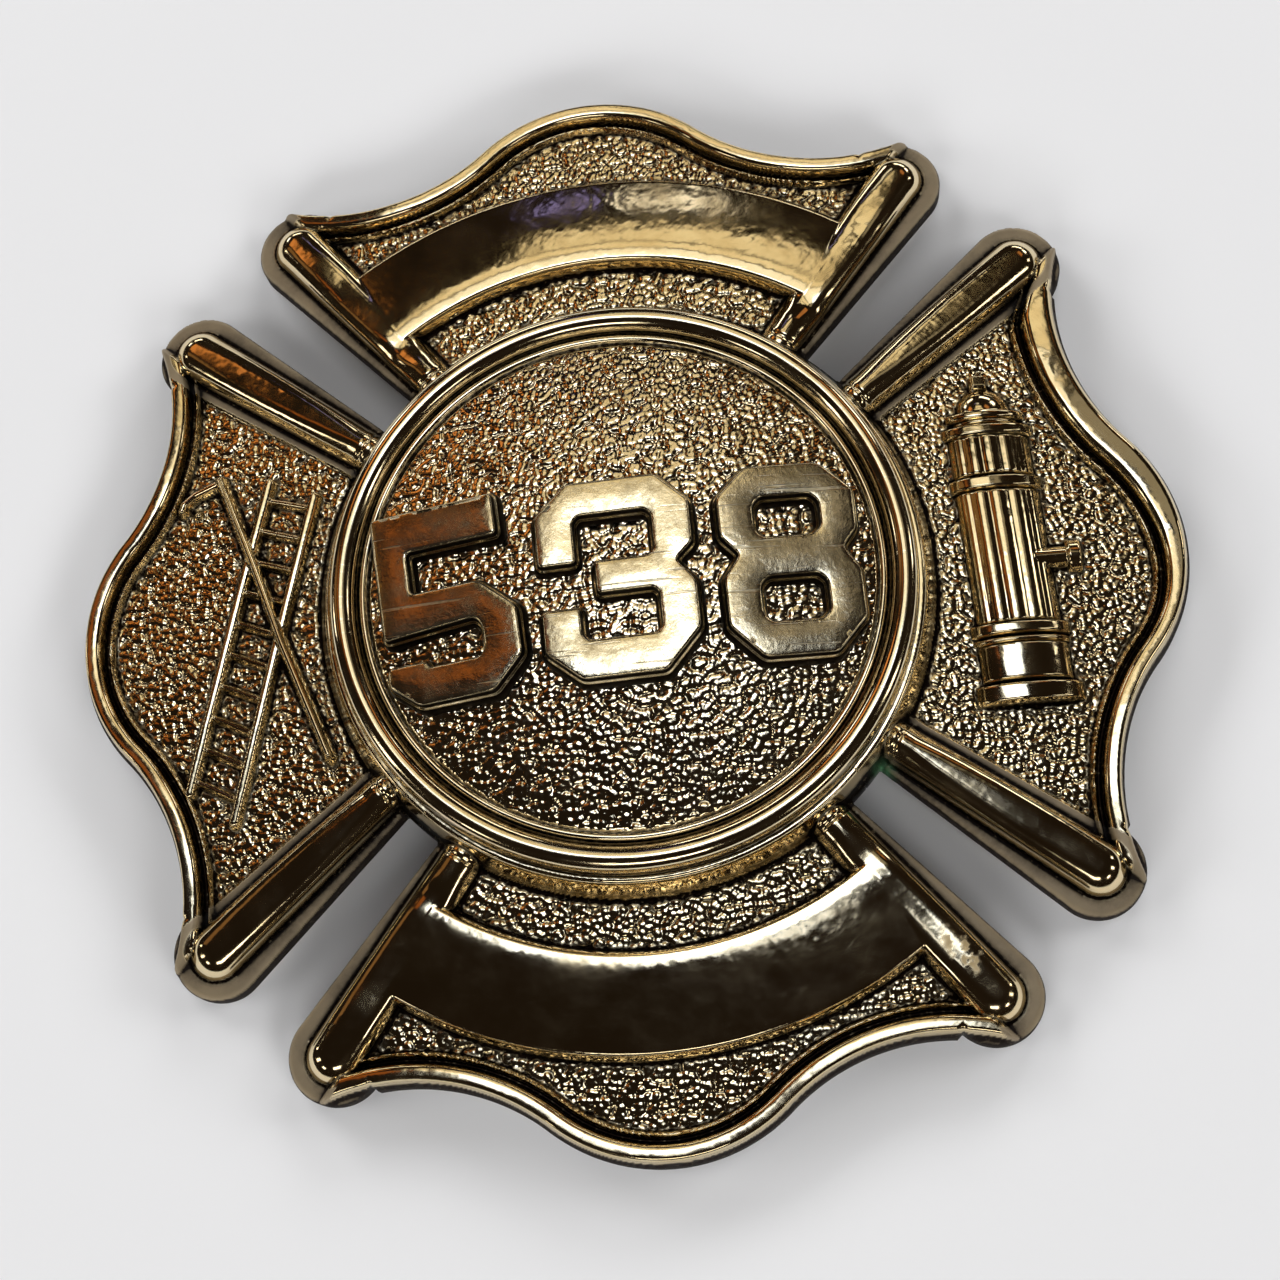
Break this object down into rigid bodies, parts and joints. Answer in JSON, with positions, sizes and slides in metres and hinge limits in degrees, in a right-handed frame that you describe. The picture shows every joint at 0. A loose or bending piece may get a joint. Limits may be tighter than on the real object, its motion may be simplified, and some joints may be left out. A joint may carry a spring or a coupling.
{
  "type": "firefighter badge",
  "caption": "Firefighter badge: four-lobed cross with bare banners, ladder, hydrant and a ringed domed disc with block numerals",
  "frame": {"origin": "centre of the badge on the plane that it rests on, face up", "axes": "+Z out of the badge's face, +Y to the top of the badge, +X to the wearer's left, which is the right as seen"},
  "size_m": [0.0622, 0.0622, 0.0072],
  "materials": {
    "nickel_brass": "polished, worn, dark in the grooves",
    "nickel_brass_disc": "polished, worn, dark in the stipple",
    "numeral_metal": "polished, finely scratched",
    "clasp_metal": "plain satin"
  },
  "bodies": {
    "root": {"cross_body": "nickel_brass", "center_disc": "nickel_brass_disc", "numeral_5": "numeral_metal", "numeral_3": "numeral_metal", "numeral_8": "numeral_metal", "pin_clasp": "clasp_metal"}
  },
  "joints": []
}
